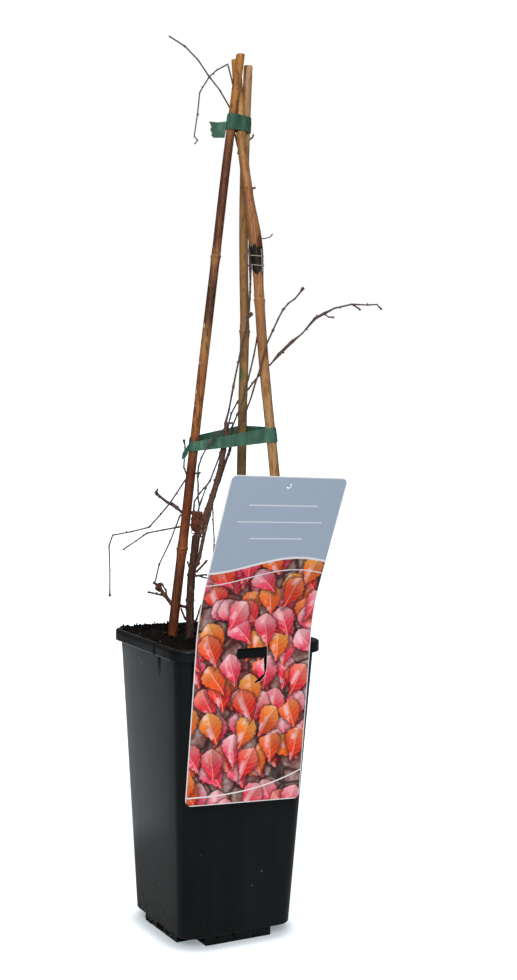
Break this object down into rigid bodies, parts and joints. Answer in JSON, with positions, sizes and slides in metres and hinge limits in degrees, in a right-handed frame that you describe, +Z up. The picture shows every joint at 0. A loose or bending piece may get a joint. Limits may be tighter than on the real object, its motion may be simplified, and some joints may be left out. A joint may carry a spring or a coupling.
{
  "type": "potted climbing vine",
  "caption": "Leafless climbing vine in a square tapered nursery pot, tied to a tripod of bamboo canes, with a picture card on the rim.",
  "frame": {"origin": "middle of the pot's flat base, on the surface that it stands on", "axes": "+Z up, +X and +Y along the pot's sides, the picture card on the -Y side"},
  "size_m": [0.1624, 0.1521, 0.6239],
  "materials": {
    "pot_plastic": "satin black injection-moulded pot, dusty, with water stains",
    "compost": "damp dark peat compost, crumbly",
    "bamboo": "mottled bamboo, straw to red-brown, satin skin with dull nodes",
    "bark": "dull winter bark, red-brown to grey at the tips",
    "tape": "thin green tying tape, softly glossy, creased",
    "card": "printed plastic card, smooth satin"
  },
  "bodies": {
    "root": {"pot": "pot_plastic", "soil": "compost", "cane_left": "bamboo", "cane_back": "bamboo", "cane_right": "bamboo", "vine": "bark", "tie_top": "tape", "tie_middle": "tape", "label": "card"}
  },
  "joints": []
}
